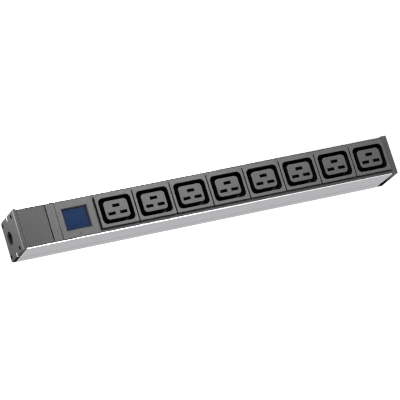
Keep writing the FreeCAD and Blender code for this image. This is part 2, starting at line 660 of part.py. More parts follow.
def make_board():
    """Meter board under the display with its supply parts on the underside."""
    plate = block("board_plate",
                  (f"({DISPLAY_MIDDLE} - {BOARD_HALF_LENGTH})", f"(-{BOARD_HALF_WIDTH})", BOARD_UNDER),
                  (f"({DISPLAY_MIDDLE} + {BOARD_HALF_LENGTH})", BOARD_HALF_WIDTH, BOARD_TOP))
    holes = [rod(f"board_hole_{number}", "z", "board_screw_radius + hole_gap", "2 * board_thick",
                 (along, across, f"({BOARD_UNDER} - board_thick / 2)"))
             for number, (along, across) in enumerate(boss_spots(), 1)]
    keep(cut("meter_board", plate, holes))

    screws = []
    for number, (along, across) in enumerate(boss_spots(), 1):
        label = f"board_screw_{number}"
        head = rod(f"{label}_head", "z", "board_head_radius", "board_head_height",
                   (along, across, f"({BOARD_UNDER} - board_head_height)"))
        shank = rod(f"{label}_shank", "z", "board_screw_radius", "board_thick + board_drop * 0.8",
                    (along, across, BOARD_UNDER))
        key = rod(f"{label}_key", "z", "board_screw_radius / 2", "board_head_height / 2",
                  (along, across, f"({BOARD_UNDER} - board_head_height)"))
        screws.append(cut(label, joined(f"{label}_blank", [head, shank]), [key]))
    keep(grouped("board_screws", screws))

    middle = f"({DISPLAY_MIDDLE} + {BOARD_HALF_LENGTH} / 2)"
    keep(block("supply_transformer",
               (f"({middle} - supply_size / 2)", "(bar_pitch - supply_size / 2 - bar_pitch / 4)",
                f"({BOARD_UNDER} - supply_height)"),
               (f"({middle} + supply_size / 2)", "(bar_pitch + supply_size / 2 - bar_pitch / 4)", BOARD_UNDER)))
    keep(rod("supply_capacitor", "z", "capacitor_radius", "capacitor_height",
             (f"({DISPLAY_MIDDLE} - {BOARD_HALF_LENGTH} / 2)", "(bar_pitch - bar_pitch / 4)",
              f"({BOARD_UNDER} - capacitor_height)")))


def make_current_transformer():
    """Ring round the live wire on a foot that stands on the channel's floor, with its leads."""
    middle = f"({SOCKETS_START} - coil_setback)"
    across = POLES["live"]
    start, end = f"({middle} - coil_length / 2)", f"({middle} + coil_length / 2)"
    ring = rod("coil_ring", "x", COIL_RADIUS, "coil_length", (start, across, WIRE_HEIGHT))
    foot = block("coil_foot_block", (start, f"({across} - coil_foot / 2)", "floor_thick"),
                 (end, f"({across} + coil_foot / 2)", f"({WIRE_HEIGHT} - coil_bore)"))
    head_top = f"({WIRE_HEIGHT} + {COIL_RADIUS} + coil_length / 10)"
    head = block("coil_head", (start, f"({across} - coil_foot / 4)", f"({WIRE_HEIGHT} + coil_bore)"),
                 (end, f"({across} + coil_foot / 4)", head_top))
    bore = rod("coil_hole", "x", "coil_bore", "2 * coil_length", (f"({start} - coil_length / 2)", across, WIRE_HEIGHT))
    keep(cut("current_transformer", joined("coil_blank", [ring, foot, head]), [bore]))
    leads = [rod(f"coil_lead_{number}", "z", "wire_radius / 2", f"({BOARD_UNDER} - {head_top})",
                 (f"({middle} {sign} coil_length / 4)", across, head_top))
             for number, sign in enumerate("-+", 1)]
    keep(grouped("transformer_leads", leads))


# ---- Terminals, wires and busbars --------------------------------------------------------

def make_terminals():
    """Three-pole terminal block on the channel's floor, its brass sleeves and clamp screws."""
    top = "(floor_thick + block_height)"
    case = block("block_case", (BLOCK_START, "(-block_width / 2)", "floor_thick"),
                 (BLOCK_END, "(block_width / 2)", top))
    spaces, sleeves, screws = [], [], []
    well = "(terminal_screw_radius + hole_gap + thread_gap)"
    for pole, across in POLES.items():
        spaces.append(block(f"{pole}_space", (f"({BLOCK_START} - wall)",
                                              f"({across} - sleeve_side / 2 - hole_gap)",
                                              f"({SLEEVE_UNDER})"),
                            (f"({BLOCK_END} + wall)", f"({across} + sleeve_side / 2 + hole_gap)",
                             f"({SLEEVE_UNDER} + sleeve_side + hole_gap)")))
        spaces.append(rod(f"{pole}_well", "z", well, "block_height", (BLOCK_MIDDLE, across, WIRE_HEIGHT)))
        solid = block(f"{pole}_sleeve_blank",
                      (f"({BLOCK_MIDDLE} - sleeve_length / 2)", f"({across} - sleeve_side / 2)", SLEEVE_UNDER),
                      (f"({BLOCK_MIDDLE} + sleeve_length / 2)", f"({across} + sleeve_side / 2)",
                       f"({SLEEVE_UNDER} + sleeve_side)"))
        bore = rod(f"{pole}_sleeve_bore", "x", "wire_radius + hole_gap", "2 * sleeve_length",
                   (f"({BLOCK_MIDDLE} - sleeve_length)", across, WIRE_HEIGHT))
        tapped = rod(f"{pole}_sleeve_thread", "z", "terminal_screw_radius + thread_gap", "sleeve_side",
                     (BLOCK_MIDDLE, across, WIRE_HEIGHT))
        sleeves.append(cut(f"{pole}_sleeve", solid, [joined(f"{pole}_sleeve_space", [bore, tapped])]))
        screw_foot = f"({WIRE_HEIGHT} + wire_radius + thread_gap)"
        shank = rod(f"{pole}_clamp_shank", "z", "terminal_screw_radius", "terminal_screw_height",
                    (BLOCK_MIDDLE, across, screw_foot))
        key = block(f"{pole}_clamp_key",
                    (f"({BLOCK_MIDDLE} - terminal_screw_radius)", f"({across} - key_radius / 3)",
                     f"({screw_foot} + terminal_screw_height - key_radius)"),
                    (f"({BLOCK_MIDDLE} + terminal_screw_radius)", f"({across} + key_radius / 3)",
                     f"({screw_foot} + terminal_screw_height + key_radius)"))
        screws.append(cut(f"{pole}_clamp_screw", shank, [key]))
    across = POLES["earth"]
    spaces.append(block("bridge_space", (BLOCK_START, f"({across} - bridge_width / 2 - hole_gap)",
                                         f"({SLEEVE_UNDER} - bridge_thick)"),
                        (f"({BLOCK_END} + wall)", f"({across} + bridge_width / 2 + hole_gap)", WIRE_HEIGHT)))
    keep(cut("terminal_block", case, [joined("block_spaces", spaces)]))
    keep(grouped("terminal_sleeves", sleeves))
    keep(grouped("terminal_screws", screws))


def make_earth_bridge():
    """Strip from the earth sleeve down to the channel's floor, and the screw that holds it."""
    across = POLES["earth"]
    low, high = f"({across} - bridge_width / 2)", f"({across} + bridge_width / 2)"
    outer = f"({BLOCK_END} + bridge_thick)"
    upper = block("bridge_upper", (f"({BLOCK_MIDDLE} - sleeve_length / 2)", low, f"({SLEEVE_UNDER} - bridge_thick)"),
                  (outer, high, SLEEVE_UNDER))
    leg = block("bridge_leg", (BLOCK_END, low, "floor_thick"), (outer, high, SLEEVE_UNDER))
    foot = block("bridge_foot", (BLOCK_END, low, "floor_thick"),
                 (f"({outer} + bridge_reach)", high, "(floor_thick + bridge_thick)"))
    hole = rod("bridge_hole", "z", "earth_screw_radius + hole_gap", "2 * floor_thick",
               (EARTH_SCREW, across, "(floor_thick / 2)"))
    keep(cut("earth_bridge", joined("bridge_blank", [upper, leg, foot]), [hole]))

    head_foot = "(floor_thick + bridge_thick)"
    head = rod("earth_screw_head", "z", "earth_head_radius", "earth_head_height", (EARTH_SCREW, across, head_foot))
    shank = rod("earth_screw_shank", "z", "earth_screw_radius", f"({head_foot} - floor_thick / 8)",
                (EARTH_SCREW, across, "(floor_thick / 8)"))
    key = rod("earth_screw_key", "z", "2 * key_radius", "earth_head_height / 2",
              (EARTH_SCREW, across, f"({head_foot} + earth_head_height / 2)"))
    keep(cut("earth_screw", joined("earth_screw_blank", [head, shank]), [key]))


def make_wires():
    """One wire per pole, from its terminal sleeve into its lug's barrel."""
    start = f"({BLOCK_MIDDLE} - sleeve_length / 4)"
    end = f"({BAR_START} - lug_thick)"
    lugs, screws = [], []
    for pole, across in POLES.items():
        keep(rod(f"wire_{pole}", "x", "wire_radius", f"({end} - {start})", (start, across, WIRE_HEIGHT)))
        barrel = rod(f"{pole}_lug_barrel", "x", "wire_radius + lug_wall", "lug_barrel",
                     (f"({end} - lug_barrel)", across, WIRE_HEIGHT))
        tongue = block(f"{pole}_lug_tongue",
                       (f"({end} - lug_thick)", f"({across} - bar_width / 2)", BAR_TOP),
                       (f"({end} + lug_tongue)", f"({across} + bar_width / 2)", f"({BAR_TOP} + lug_thick)"))
        crimp = rod(f"{pole}_lug_bore", "x", "wire_radius + thread_gap", "2 * lug_barrel",
                    (f"({end} - 2 * lug_barrel)", across, WIRE_HEIGHT))
        spot = f"({end} + lug_tongue / 2)"
        hole = rod(f"{pole}_lug_hole", "z", "bar_screw_radius + hole_gap", "2 * lug_thick",
                   (spot, across, f"({BAR_TOP} - lug_thick / 2)"))
        lugs.append(cut(f"{pole}_lug", joined(f"{pole}_lug_blank", [barrel, tongue]),
                        [joined(f"{pole}_lug_space", [crimp, hole])]))
        head = rod(f"{pole}_bar_screw_head", "z", "bar_head_radius", "bar_head_height",
                   (spot, across, f"({BAR_TOP} + lug_thick)"))
        shank = rod(f"{pole}_bar_screw_shank", "z", "bar_screw_radius", "bar_thick + lug_thick",
                    (spot, across, BAR_UNDER))
        key = rod(f"{pole}_bar_screw_key", "z", "key_radius", "bar_head_height / 2",
                  (spot, across, f"({BAR_TOP} + lug_thick + bar_head_height / 2)"))
        screws.append(cut(f"{pole}_bar_screw", joined(f"{pole}_bar_screw_blank", [head, shank]), [key]))
        bar = block(f"{pole}_bar_blank", (BAR_START, f"({across} - bar_width / 2)", BAR_UNDER),
                    (f"({PROFILE_END} - tray_wall)", f"({across} + bar_width / 2)", BAR_TOP))
        thread = rod(f"{pole}_bar_thread", "z", "bar_screw_radius + thread_gap", "2 * bar_thick",
                     (spot, across, f"({BAR_UNDER} - bar_thick / 2)"))
        keep(cut(f"busbar_{pole}", bar, [thread]))
    keep(grouped("bar_lugs", lugs))
    keep(grouped("bar_screws", screws))


def make_tray():
    """Insulating trough that hangs from the channel's ribs and keeps the busbars apart."""
    body = new_body("busbar_tray")
    flange_side = f"({INNER_WALL} - side_gap)"
    flange_top = f"({RIB_TOP} + tray_flange)"
    divider = "(bar_pitch / 2)"
    half = [(flange_side, flange_top), (flange_side, RIB_TOP), (TRAY_HALF, RIB_TOP), (TRAY_HALF, TRAY_UNDER)]
    inner = [(f"({TRAY_HALF} - tray_wall)", flange_top), (f"({TRAY_HALF} - tray_wall)", BAR_UNDER),
             (f"({divider} + tray_wall / 3)", BAR_UNDER), (f"({divider} + tray_wall / 3)", BAR_TOP),
             (f"({divider} - tray_wall / 3)", BAR_TOP), (f"({divider} - tray_wall / 3)", BAR_UNDER)]
    left_outer = [(f"(-{across})", height) for across, height in reversed(half)]
    left_inner = [(f"(-{across})", height) for across, height in inner]
    outline = half + left_outer + left_inner + list(reversed(inner))
    start = f"({SOCKETS_START} - tray_lead)"
    section = new_sketch(body, "section", "YZ_Plane", start)
    draw_outline(section, outline)
    pad(body, "section", section, f"({PROFILE_END} - hole_gap - {start})")
    keep(body)


# ---- Socket modules ----------------------------------------------------------------------

SLOTS = {
    "live": ("(-pin_spacing / 2)", "(-pin_offset / 2)"),
    "neutral": ("(pin_spacing / 2)", "(-pin_offset / 2)"),
    "earth": ("(0 * pin_spacing)", "(pin_offset / 2)"),
}


def draw_slots(drawing, length, width):
    for along, across in SLOTS.values():
        draw_box(drawing, (f"({along} - {length} / 2)", f"({across} - {width} / 2)"),
                 (f"({along} + {length} / 2)", f"({across} + {width} / 2)"))


def make_socket_frame(name, middle):
    """Module plate with a raised plateau and a walled recess for the plug's shroud."""
    body = new_body(name, middle)
    half = "((socket_pitch - joint_gap) / 2)"
    module_blank(body, f"(-{half})", half)
    plateau = new_sketch(body, "plateau", "XY_Plane", PLATE_UNDER)
    draw_rounded(plateau, "(socket_pitch - plateau_gap)", "(ring_width + 2 * plateau_rim)", "plateau_corner")
    pad(body, "plateau", plateau, "cover_thick + plateau_rise")
    shroud = new_sketch(body, "shroud", "XY_Plane", RING_FLOOR)
    draw_rounded(shroud, "(ring_length + 2 * shroud_wall)", "(ring_width + 2 * shroud_wall)",
                 "(ring_corner + shroud_wall)")
    pad(body, "shroud", shroud, f"({PLATE_UNDER} - {RING_FLOOR} + cover_thick / 2)")
    recess = new_sketch(body, "recess", "XY_Plane", FACE_TOP)
    draw_rounded(recess, "ring_length", "ring_width", "ring_corner")
    opened = pocket(body, "recess", recess)
    top = size(FACE_TOP)
    dress(body, "Fillet", "edges", opened, "min(face_round; plateau_corner * 0.9)",
          lambda box: near(box.ZMin, top) and near(box.ZMax, top))
    keep(body)


def make_socket_insert(name, middle):
    """Base of the recess with the island that carries the three contact slots."""
    body = new_body(name, middle)
    base = new_sketch(body, "base", "XY_Plane", f"({RING_FLOOR} - insert_base)")
    draw_rounded(base, "(ring_length + 2 * shroud_wall)", "(ring_width + 2 * shroud_wall)",
                 "(ring_corner + shroud_wall)")
    pad(body, "base", base, "insert_base")
    island = new_sketch(body, "island", "XY_Plane", f"({RING_FLOOR} - insert_base / 2)")
    draw_rounded(island, "island_length", "island_width", "island_corner")
    raised = pad(body, "island", island, "ring_depth + insert_base / 2")
    top = size(FACE_TOP)
    dress(body, "Fillet", "edges", raised, "face_round",
          lambda box: near(box.ZMin, top) and near(box.ZMax, top))
    cavities = new_sketch(body, "cavities", "XY_Plane", f"({FACE_TOP} - face_thick)")
    draw_slots(cavities, "cavity_length", "cavity_width")
    pocket(body, "cavities", cavities)
    slots = new_sketch(body, "slots", "XY_Plane", FACE_TOP)
    draw_slots(slots, "slot_length", "slot_width")
    pocket(body, "slots", slots, "face_thick")
    keep(body)


def contact_outline(across, tail_side, foot_end):
    """Fork of two leaves, with one leaf carried down to a foot on its busbar.

    tail_side is the sign of the leaf that runs down; foot_end is where the foot stops."""
    other = "+" if tail_side == "-" else "-"
    tail_out = f"({across} {tail_side} (contact_gap / 2 + contact_thick))"
    tail_in = f"({across} {tail_side} contact_gap / 2)"
    free_in = f"({across} {other} contact_gap / 2)"
    free_out = f"({across} {other} (contact_gap / 2 + contact_thick))"
    leaf_top = f"({FACE_TOP} - contact_sink)"
    bridge_low = f"({RING_FLOOR} - contact_thick)"
    foot_top = f"({BAR_TOP} + contact_foot)"
    return [(tail_out, leaf_top), (tail_in, leaf_top), (tail_in, RING_FLOOR), (free_in, RING_FLOOR),
            (free_in, leaf_top), (free_out, leaf_top), (free_out, bridge_low), (tail_in, bridge_low)], \
        tail_in, tail_out, foot_top, foot_end


def make_socket_contacts(name, middle):
    """The three contacts of one socket, each standing on its busbar."""
    body = new_body(name, middle)
    for pole, (along, across) in SLOTS.items():
        bar = POLES[pole]
        towards = "-" if size(bar) < size(across) else "+"
        fork, tail_in, tail_out, foot_top, foot_end = contact_outline(
            across, towards, f"({bar} {towards} bar_width / 3)")
        outline = fork + [(tail_in, BAR_TOP), (foot_end, BAR_TOP), (foot_end, foot_top), (tail_out, foot_top)]
        strip = new_sketch(body, pole, "YZ_Plane", f"({along} - contact_width / 2)")
        draw_outline(strip, outline)
        pad(body, pole, strip, "contact_width")
    keep(body)


def make_sockets():
    for number in range(1, round(size("socket_count")) + 1):
        middle = f"({SOCKETS_START} + socket_pitch * {number - 0.5})"
        make_socket_frame(f"socket_frame_{number}", middle)
        make_socket_insert(f"socket_insert_{number}", middle)
        make_socket_contacts(f"socket_contacts_{number}", middle)


# ---- Build, check, write -----------------------------------------------------------------

def check():
    """Stops on a failed object, a cut that removes nothing, or a bad or missing solid."""
    doc.recompute()
    for item in doc.Objects:
        if {"Invalid", "Error"} & set(item.State):
            raise RuntimeError(f"{item.Label} failed: {item.State}")
        if item.TypeId == "PartDesign::Pocket":
            if item.Shape.Volume > item.BaseFeature.Shape.Volume - 1e-6:
                raise RuntimeError(f"{item.Label} removes nothing")
    for piece in nodes:
        shape = piece.Shape
        if shape.isNull() or not shape.isValid() or not shape.Solids:
            raise RuntimeError(f"{piece.Label} is null, invalid or has no solid")


def main():
    make_profile()
    make_caps()
    make_cap_screws("end_cap_screws_left", LEFT_FACE, "cap_left", "+")
    make_cap_screws("end_cap_screws_right", RIGHT_FACE, "cap_right", "-")
    make_catches()
    make_grommet()
    make_covers()
    make_bezel()
    make_display()
    make_button()
    make_board()
    make_current_transformer()
    make_terminals()
    make_earth_bridge()
    make_wires()
    make_tray()
    make_sockets()
    check()
    os.makedirs("parts", exist_ok=True)
    for piece in nodes:
        piece.Shape.exportStep(f"parts/{piece.Label}.step")
        print(f"{piece.Label}: {len(piece.Shape.Solids)} solid(s), {piece.Shape.Volume:.1f} mm3")
    print(f"{len(nodes)} nodes")


main()
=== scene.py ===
"""Looks of a metered rack power strip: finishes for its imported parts, sunk cap screws with a
cross drive, a lit display, and a plain studio with a long lens.

Everything is in metres in the strip's own frame: +X along the strip, +Z out of the sockets.
"""
import json
import math

import bpy
from mathutils import Matrix, Vector


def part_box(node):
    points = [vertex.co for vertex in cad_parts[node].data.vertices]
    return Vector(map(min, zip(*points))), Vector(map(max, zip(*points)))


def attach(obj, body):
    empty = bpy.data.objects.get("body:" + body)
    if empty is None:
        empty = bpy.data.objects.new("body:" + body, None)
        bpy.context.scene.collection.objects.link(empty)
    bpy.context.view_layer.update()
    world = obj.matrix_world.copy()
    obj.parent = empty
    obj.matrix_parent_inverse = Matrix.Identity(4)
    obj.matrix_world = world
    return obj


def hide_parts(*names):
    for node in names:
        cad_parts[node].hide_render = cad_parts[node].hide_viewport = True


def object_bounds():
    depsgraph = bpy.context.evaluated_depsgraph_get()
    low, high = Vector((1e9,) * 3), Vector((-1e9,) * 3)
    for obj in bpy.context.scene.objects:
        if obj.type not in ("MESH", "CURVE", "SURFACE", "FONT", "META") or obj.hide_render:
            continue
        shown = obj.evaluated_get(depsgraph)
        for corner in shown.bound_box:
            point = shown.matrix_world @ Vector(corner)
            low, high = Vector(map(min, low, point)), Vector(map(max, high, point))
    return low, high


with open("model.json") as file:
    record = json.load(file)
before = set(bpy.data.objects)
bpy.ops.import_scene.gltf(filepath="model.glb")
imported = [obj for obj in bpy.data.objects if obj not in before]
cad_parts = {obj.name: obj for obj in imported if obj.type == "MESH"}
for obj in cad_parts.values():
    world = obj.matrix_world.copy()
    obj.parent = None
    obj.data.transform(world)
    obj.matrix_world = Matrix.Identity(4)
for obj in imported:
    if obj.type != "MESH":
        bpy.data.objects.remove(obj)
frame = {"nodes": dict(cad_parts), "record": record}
cad_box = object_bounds()

MM = 0.001


# ---- Node trees --------------------------------------------------------------------------

class Field:
    """A number socket of a node tree; arithmetic on it adds the nodes that it needs."""

    def __init__(self, tree, socket):
        self.tree, self.socket = tree, socket

    def maths(self, operation, *values):
        node = self.tree.node("ShaderNodeMath", {"operation": operation}, dict(enumerate(values)))
        return Field(self.tree, node.outputs[0])

    def __add__(self, other):
        return self.maths("ADD", self, other)

    __radd__ = __add__

    def __sub__(self, other):
        return self.maths("SUBTRACT", self, other)

    def __rsub__(self, other):
        return self.maths("SUBTRACT", other, self)

    def __mul__(self, other):
        return self.maths("MULTIPLY", self, other)

    __rmul__ = __mul__

    def __truediv__(self, other):
        return self.maths("DIVIDE", self, other)

    def root(self):
        return self.maths("SQRT", self)

    def whole(self):
        return self.maths("FLOOR", self)

    def part(self):
        """What is left of it above the whole number below."""
        return self.maths("FRACT", self)

    def __neg__(self):
        return self * -1.0

    def __abs__(self):
        return self.maths("ABSOLUTE", self)

    def __or__(self, other):
        return self.maths("MAXIMUM", self, other)

    def __and__(self, other):
        return self.maths("MINIMUM", self, other)

    def above(self, low, high):
        """0 below low, 1 above high, smooth between."""
        node = self.tree.node("ShaderNodeMapRange", {"interpolation_type": "SMOOTHSTEP", "clamp": True},
                               {"Value": self, "From Min": low, "From Max": high})
        return Field(self.tree, node.outputs["Result"])

    def below(self, low, high):
        """1 below low, 0 above high, smooth between."""
        return 1 - self.above(low, high)


class Tree:
    """Adds nodes to a node tree and feeds them."""

    def __init__(self, tree):
        self.tree = tree

    def node(self, kind, settings, values):
        """Adds a node, makes its settings, then feeds its sockets with values or links."""
        node = self.tree.nodes.new(kind)
        for key, value in settings.items():
            setattr(node, key, value)
        for key, value in values.items():
            self.feed(node.inputs[key], value)
        return node

    def feed(self, socket, value):
        """Gives a socket a number, a colour or a link; a list links each of its items."""
        if isinstance(value, Field):
            value = value.socket
        if isinstance(value, list):
            for item in value:
                self.feed(socket, item)
        elif isinstance(value, bpy.types.NodeSocket):
            self.tree.links.new(value, socket)
        elif socket.type == "RGBA" and len(value) == 3:
            socket.default_value = (*value, 1.0)
        else:
            socket.default_value = value


class Paint(Tree):
    """One material: a Principled shader and whatever feeds it."""

    def __init__(self, name, **values):
        self.material = bpy.data.materials.new(name)
        self.material.use_nodes = True
        self.tree = self.material.node_tree
        self.tree.nodes.clear()
        self.surface = self.node("ShaderNodeBsdfPrincipled", {}, values)
        self.end = self.node("ShaderNodeOutputMaterial", {}, {"Surface": self.surface.outputs[0]})
        self.place = self.node("ShaderNodeTexCoord", {}, {}).outputs["Object"]
        parts = self.node("ShaderNodeSeparateXYZ", {}, {"Vector": self.place})
        self.x, self.y, self.z = (Field(self, parts.outputs[i]) for i in range(3))

    def set(self, name, value):
        self.feed(self.surface.inputs[name], value)

    def stretched(self, x, y, z):
        """Object coordinates, in metres, times a factor for each axis."""
        node = self.node("ShaderNodeVectorMath", {"operation": "MULTIPLY"}, {0: self.place, 1: (x, y, z)})
        return node.outputs[0]

    def noise(self, size, detail=2.0, rough=0.5, along=None):
        """Noise with features of about this size, in metres; along stretches it per axis."""
        factors = [1 / (size * stretch) for stretch in (along or (1, 1, 1))]
        node = self.node("ShaderNodeTexNoise", {}, {"Vector": self.stretched(*factors), "Scale": 1.0,
                                                    "Detail": detail, "Roughness": rough})
        return Field(self, node.outputs[0])

    def blend(self, factor, low, high):
        """A colour between two colours or colour sockets."""
        node = self.node("ShaderNodeMix", {"data_type": "RGBA", "clamp_factor": True}, {})
        for key, value in zip((0, 6, 7), (factor, low, high)):
            self.feed(node.inputs[key], value)
        return node.outputs[2]

    def painted_shade(self, factor, colour):
        """Covers the surface with a dull layer of this colour where factor is 1, to paint shade onto it."""
        layer = self.node("ShaderNodeBsdfPrincipled", {}, {"Base Color": colour, "Roughness": 0.95,
                                                           "Specular IOR Level": 0.0})
        both = self.node("ShaderNodeMixShader", {}, {0: factor, 1: self.surface.outputs[0],
                                                     2: layer.outputs[0]})
        self.feed(self.end.inputs["Surface"], both.outputs[0])

    def relief(self, height, depth):
        """Bumps the surface by a height field of this depth, in metres."""
        node = self.node("ShaderNodeBump", {}, {"Height": height, "Distance": depth, "Strength": 1.0})
        self.set("Normal", node.outputs[0])


def shade(colour, factor):
    return tuple(channel * factor for channel in colour)


# ---- Places and sizes ----------------------------------------------------------------------

def corners(node):
    """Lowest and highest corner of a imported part."""
    return [Vector(corner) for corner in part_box(node)]


strip_end, strip_side = cad_box[1][0], cad_box[1][1]
channel_low, channel_high = corners("housing_profile")
channel_top = channel_high[2]
face_top = corners("socket_frame_1")[1][2]
cap_top = corners("end_cap_left")[1][2]

SOCKETS = 8
PLATEAU_HALF_WIDTH = 17.4 * MM
GUIDE_HEIGHT = 14.5 * MM
# Contact slots: along and across the strip from the middle of their socket, and the shade round each.
SLOT_SPREAD, SLOT_OFFSET = 6.5 * MM, 4.0 * MM
SHADE_LENGTH, SHADE_WIDTH = 8.4 * MM, 3.6 * MM
# Cap screws: the head, and how deep it is seated in the cap.
HEAD_RADIUS, HEAD_HEIGHT, HEAD_DEPTH = 1.9 * MM, 1.4 * MM, 1.5 * MM


# ---- Finishes ------------------------------------------------------------------------------

FACE_GREY = (0.092, 0.092, 0.096)
# Painted shade: the black that socket faces get below their top skin, in the recesses and on the plateau
# walls.
RECESS_SHADE_BLACK = (0.004, 0.004, 0.005)


def grained(paint, colour, grain):
    """Tone of spark-textured plastic, which drifts and is mottled, and its fine grain."""
    drift = paint.noise(22 * MM, detail=3.0)
    mottle = paint.noise(1.5 * MM, detail=2.0, rough=0.6).above(0.3, 0.7)
    speck = paint.noise(grain, detail=2.0, rough=0.7)
    mixed = drift * 0.4 + mottle * 0.4 + speck * 0.2
    return paint.blend(mixed, shade(colour, 0.78), shade(colour, 1.22)), speck


def moulded(name, colour, rough=0.52, grain=0.28 * MM, depth=0.012 * MM):
    """Spark-textured moulded plastic with faint rubbed spots."""
    paint = Paint(name, IOR=1.5)
    tone, speck = grained(paint, colour, grain)
    rub = paint.noise(7 * MM, detail=4.0, rough=0.65).above(0.62, 0.78)
    paint.set("Base Color", paint.blend(rub * 0.25, tone, shade(colour, 1.25)))
    paint.set("Roughness", rough + (speck - 0.5) * 0.16 - rub * 0.06)
    paint.relief(speck, depth)
    return paint


def cap_moulding():
    """Cap plastic with a painted highlight along its outer top edge, and painted shade, near-black, low on
    its flanks and round its screw heads.
    """
    paint = moulded("cap_plastic", (0.095, 0.095, 0.097), rough=0.5, grain=0.35 * MM, depth=0.018 * MM)
    before_highlight = paint.surface.inputs["Base Color"].links[0].from_socket
    # Painted highlight: a lighter grey band along the outer top edge, where the end face meets the top.
    outer = abs(paint.x).above(strip_end - 0.9 * MM, strip_end - 0.4 * MM)
    upper = paint.z.above(cap_top - 0.9 * MM, cap_top - 0.4 * MM)
    paint.set("Base Color", paint.blend(outer * upper * 0.8, before_highlight, (0.3, 0.3, 0.3)))
    paint.set("Specular IOR Level", 0.25)
    # Painted shade: the flanks go near-black low down, and so does a ring round each screw head.
    flank = abs(paint.y).above(strip_side - 0.3 * MM, strip_side - 0.05 * MM)
    low = paint.z.below(16 * MM, 44 * MM)
    screws_low, screws_high = corners("end_cap_screws_left")
    middle, reach = (screws_low + screws_high) / 2, (screws_high - screws_low) / 2
    across = abs(paint.y) - (reach[1] - HEAD_RADIUS)
    up = abs(paint.z - middle[2]) - (reach[2] - HEAD_RADIUS)
    hole = (across * across + up * up).root().below(HEAD_RADIUS + 0.3 * MM, HEAD_RADIUS + 0.6 * MM)
    paint.painted_shade((flank * low | hole) * 0.95, (0.003, 0.003, 0.003))
    return paint


def within(offset, width):
    """1 where an offset from the middle is inside this width, with a soft edge outside it."""
    return abs(offset).below(width / 2, width / 2 + 0.12 * MM)


def near_slots(paint):
    """1 on and just around the contact slots of every socket, where their edges are in shade."""
    first, last = (sum(corner[0] for corner in corners(f"socket_insert_{end}")) / 2 for end in (1, SOCKETS))
    pitch = (last - first) / (SOCKETS - 1)
    along = ((paint.x - first) / pitch + 0.5).part() * pitch - pitch / 2
    pair = within(abs(along) - SLOT_SPREAD, SHADE_LENGTH) & within(paint.y + SLOT_OFFSET, SHADE_WIDTH)
    earth = within(along, SHADE_LENGTH) & within(paint.y - SLOT_OFFSET, SHADE_WIDTH)
    return pair | earth


def socket_finish(name, colour):
    """Grey top skin and side ledges; below the top skin everything is painted black as shade, in the
    recesses and on the plateau walls, and the edges round the contact slots get painted shade too.
    """
    paint = Paint(name, IOR=1.5)
    tone, speck = grained(paint, colour, 0.28 * MM)
    top = paint.z.above(face_top - 0.5 * MM, face_top - 0.35 * MM)
    ledge = abs(paint.y).above(PLATEAU_HALF_WIDTH + 0.02 * MM, PLATEAU_HALF_WIDTH + 0.06 * MM)
    # Painted shade: black below the top skin and round the contact slots.
    face = (top | ledge) * (1 - near_slots(paint) * 0.9)
    paint.set("Base Color", paint.blend(face, RECESS_SHADE_BLACK, tone))
    paint.set("Roughness", 0.52 + (speck - 0.5) * 0.16)
    paint.relief(speck, 0.012 * MM)
    return paint


def anodised(name, colour, rough=0.4):
    """Satin anodised extrusion: die lines, a soft bloom, painted shade in the guide groove, a painted
    highlight along the walls' top rim, and bright bare metal with a painted highlight on the sawn ends.
    """
    paint = Paint(name, Metallic=1.0)
    die = paint.noise(0.35 * MM, detail=3.0, rough=0.6, along=(500, 1, 1))
    band = paint.noise(3.2 * MM, detail=2.0, along=(60, 1, 1))
    bloom = paint.noise(30 * MM, detail=3.0, along=(2, 1, 1))
    etch = paint.noise(0.12 * MM, detail=1.0)
    tone = die * 0.45 + band * 0.3 + bloom * 0.25
    groove_shade = abs(paint.z - GUIDE_HEIGHT).below(0.2 * MM, 0.5 * MM)
    side = abs(paint.y).above(strip_side - 0.6 * MM, strip_side - 0.4 * MM)
    plain = paint.blend(tone, shade(colour, 0.88), shade(colour, 1.1))
    middle, half = (channel_low[0] + channel_high[0]) / 2, (channel_high[0] - channel_low[0]) / 2
    ends = abs(paint.x - middle).above(half - 1.0 * MM, half - 0.5 * MM)
    # Near-white along the walls' top rim is a painted highlight; at the cut ends it is bare sawn metal that
    # is also a painted highlight.
    rim_highlight_and_bare_ends = paint.z.above(channel_top - 0.9 * MM, channel_top - 0.4 * MM) | ends
    plain = paint.blend(rim_highlight_and_bare_ends, plain, (0.95, 0.95, 0.96))
    # Painted shade in the guide groove: it is blended towards a fifth of the tone.
    paint.set("Base Color", paint.blend(groove_shade * side * 0.6, plain, shade(colour, 0.2)))
    paint.set("Roughness", rough + (die - 0.5) * 0.14 + (bloom - 0.5) * 0.08)
    paint.relief(die * 0.8 + etch * 0.2, 0.006 * MM)
    return paint


def metal(name, colour, rough=0.3, grain=0.2 * MM):
    paint = Paint(name, Metallic=1.0)
    fine = paint.noise(grain, detail=3.0, rough=0.6)
    stain = paint.noise(5 * MM, detail=3.0)
    paint.set("Base Color", paint.blend(stain, shade(colour, 0.82), shade(colour, 1.08)))
    paint.set("Roughness", rough + (fine - 0.5) * 0.2)
    paint.relief(fine, 0.004 * MM)
    return paint


def black_steel():
    paint = Paint("black_zinc", **{"Metallic": 0.2, "Specular IOR Level": 0.25})
    fine = paint.noise(0.15 * MM, detail=3.0)
    worn = paint.noise(0.5 * MM, detail=3.0, rough=0.7).above(0.6, 0.72)
    paint.set("Base Color", paint.blend(worn * 0.4, (0.005, 0.005, 0.006), (0.05, 0.05, 0.052)))
    paint.set("Roughness", 0.42 + (fine - 0.5) * 0.2)
    paint.relief(fine, 0.005 * MM)
    return paint


